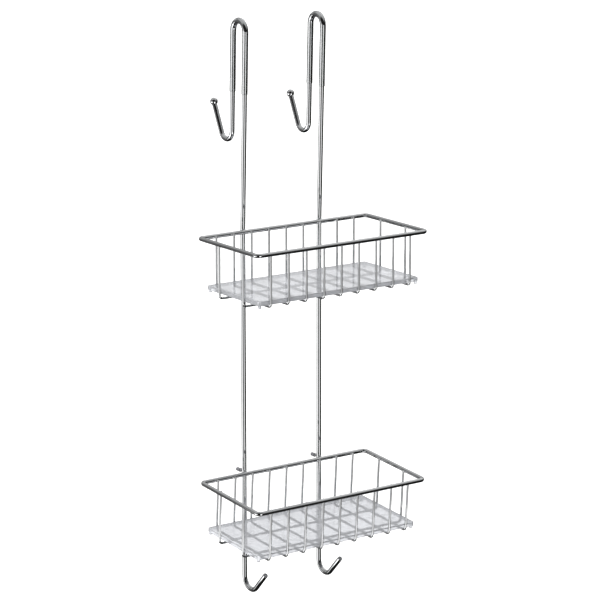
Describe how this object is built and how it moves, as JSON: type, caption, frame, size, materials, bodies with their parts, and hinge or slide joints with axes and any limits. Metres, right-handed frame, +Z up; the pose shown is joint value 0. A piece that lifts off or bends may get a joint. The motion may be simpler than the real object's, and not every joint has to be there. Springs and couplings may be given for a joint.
{
  "type": "shower caddy",
  "caption": "Tiered chrome wire caddy that hooks over a shower screen, with lift-out clear trays, ball-ended rear hooks for towels and open hooks below.",
  "frame": {"origin": "the point that hangs on the screen's top edge: the underside of the hooks' crest, midway between the two hooks", "axes": "+Z up along the uprights, +X to the user's right along the baskets, -Y out from the screen towards the user"},
  "size_m": [0.2506, 0.1978, 0.7089],
  "materials": {
    "chrome_wire": "bright chrome plating on steel wire",
    "clear_sleeve": "clear soft plastic tube, glossy",
    "clear_tray": "clear plastic with a faint blue-grey tint, satin",
    "grey_rubber": "matt grey rubber"
  },
  "bodies": {
    "rack": {"left_upright": "chrome_wire", "left_hook_sleeve": "clear_sleeve", "left_hook_ball": "chrome_wire", "left_spacer_pin": "chrome_wire", "left_spacer_foot": "grey_rubber", "right_upright": "chrome_wire", "right_hook_sleeve": "clear_sleeve", "right_hook_ball": "chrome_wire", "right_spacer_pin": "chrome_wire", "right_spacer_foot": "grey_rubber", "upper_rim": "chrome_wire", "upper_cross_rib_1": "chrome_wire", "upper_cross_rib_2": "chrome_wire", "upper_cross_rib_3": "chrome_wire", "upper_cross_rib_4": "chrome_wire", "upper_cross_rib_5": "chrome_wire", "upper_cross_rib_6": "chrome_wire", "upper_cross_rib_7": "chrome_wire", "upper_cross_rib_8": "chrome_wire", "upper_cross_rib_9": "chrome_wire", "upper_long_wire_front": "chrome_wire", "upper_long_wire_rear": "chrome_wire", "lower_rim": "chrome_wire", "lower_cross_rib_1": "chrome_wire", "lower_cross_rib_2": "chrome_wire", "lower_cross_rib_3": "chrome_wire", "lower_cross_rib_4": "chrome_wire", "lower_cross_rib_5": "chrome_wire", "lower_cross_rib_6": "chrome_wire", "lower_cross_rib_7": "chrome_wire", "lower_cross_rib_8": "chrome_wire", "lower_cross_rib_9": "chrome_wire", "lower_long_wire_front": "chrome_wire", "lower_long_wire_rear": "chrome_wire"},
    "upper_tray_insert": {"upper_tray": "clear_tray"},
    "lower_tray_insert": {"lower_tray": "clear_tray"}
  },
  "joints": [
    {"name": "upper_tray_lift", "type": "slide", "parent": "rack", "child": "upper_tray_insert", "axis": [0, 0, 1], "range_m": [0, 0.09]},
    {"name": "lower_tray_lift", "type": "slide", "parent": "rack", "child": "lower_tray_insert", "axis": [0, -0.0663, 0.9978], "range_m": [0, 0.09]}
  ]
}
